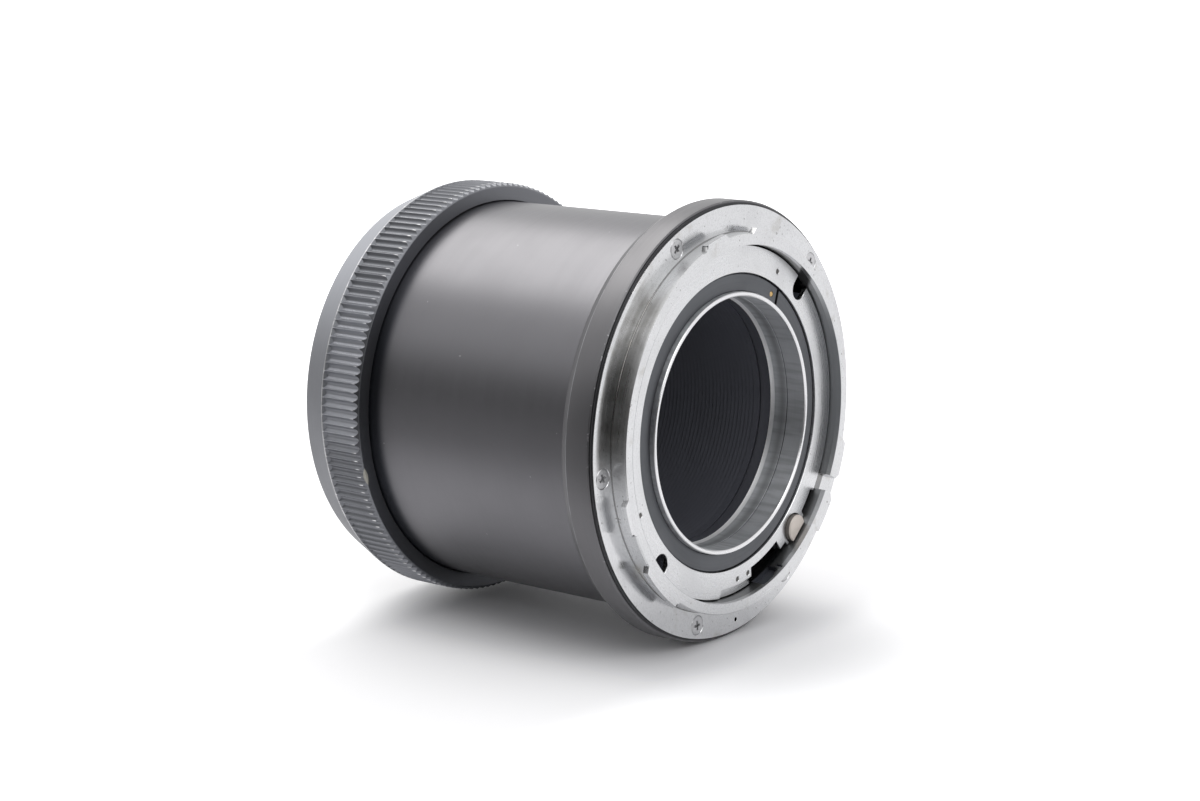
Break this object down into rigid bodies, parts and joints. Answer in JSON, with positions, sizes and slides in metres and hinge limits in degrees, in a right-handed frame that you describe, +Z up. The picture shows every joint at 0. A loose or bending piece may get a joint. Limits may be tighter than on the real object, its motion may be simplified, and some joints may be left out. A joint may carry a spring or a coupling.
{
  "type": "camera extension tube",
  "caption": "Black extension tube for a medium format camera, with a chromed bayonet and cocking plate in front and a knurled lock ring behind.",
  "frame": {"origin": "on the optical axis at the plane of the rear seating face", "axes": "+X along the optical axis towards the lens, +Z up as the tube lies on its side, +Y across it"},
  "size_m": [0.0856, 0.0942, 0.0942],
  "materials": {
    "barrel_anodised": "satin black anodised, with fine turning lines round the tube",
    "flange_black": "satin black, worn brighter at its edges",
    "ring_black": "semi-matt black anodised knurled metal",
    "mount_chrome": "satin chrome with faint turning lines",
    "plate_chrome": "bright chrome, lightly scratched",
    "steel": "turned steel",
    "sleeve_silver": "turned satin silver",
    "matt_black": "matt black against stray light",
    "cover_grey": "dark satin grey",
    "brass": "plain turned brass",
    "stud_ivory": "pale satin, worn at the edge",
    "mark_ivory": "pale filled mark"
  },
  "bodies": {
    "tube": {"barrel": "barrel_anodised", "front_flange": "flange_black", "mount_shim": "steel", "bayonet_mount": "mount_chrome", "mount_screws": "steel", "front_sleeve": "sleeve_silver", "baffle_ring": "matt_black", "light_tunnel": "matt_black", "cover_ring": "cover_grey", "cover_pin": "brass", "rear_mount_plate": "mount_chrome", "rear_plate_screws": "steel"},
    "ring": {"lock_ring": "ring_black", "claw_ring": "mount_chrome", "ring_retainer": "flange_black", "ring_stop_screw": "steel", "index_mark": "mark_ivory"},
    "rotor": {"cocking_plate": "plate_chrome", "plate_rivets": "steel", "rotor_drum": "matt_black", "front_bush": "brass", "rear_bush": "brass", "drive_ring": "steel", "cocking_pins": "steel", "release_guide": "steel", "release_spring": "steel"},
    "release": {"release_stud": "stud_ivory", "release_rod": "steel", "spring_clip": "steel", "release_tip": "steel"}
  },
  "joints": [
    {"name": "lock_turn", "type": "hinge", "parent": "tube", "child": "ring", "pos_m": [0, 0, 0], "axis": [1, 0, 0], "range_deg": [0, 45]},
    {"name": "cocking_turn", "type": "hinge", "parent": "tube", "child": "rotor", "pos_m": [0, 0, 0], "axis": [1, 0, 0], "range_deg": [0, 50]},
    {"name": "release_push", "type": "slide", "parent": "rotor", "child": "release", "axis": [1, 0, 0], "range_m": [0, 0.0016], "stiffness_N_per_m": 400, "springref_m": -0.002, "deforming": ["release_spring"]}
  ]
}
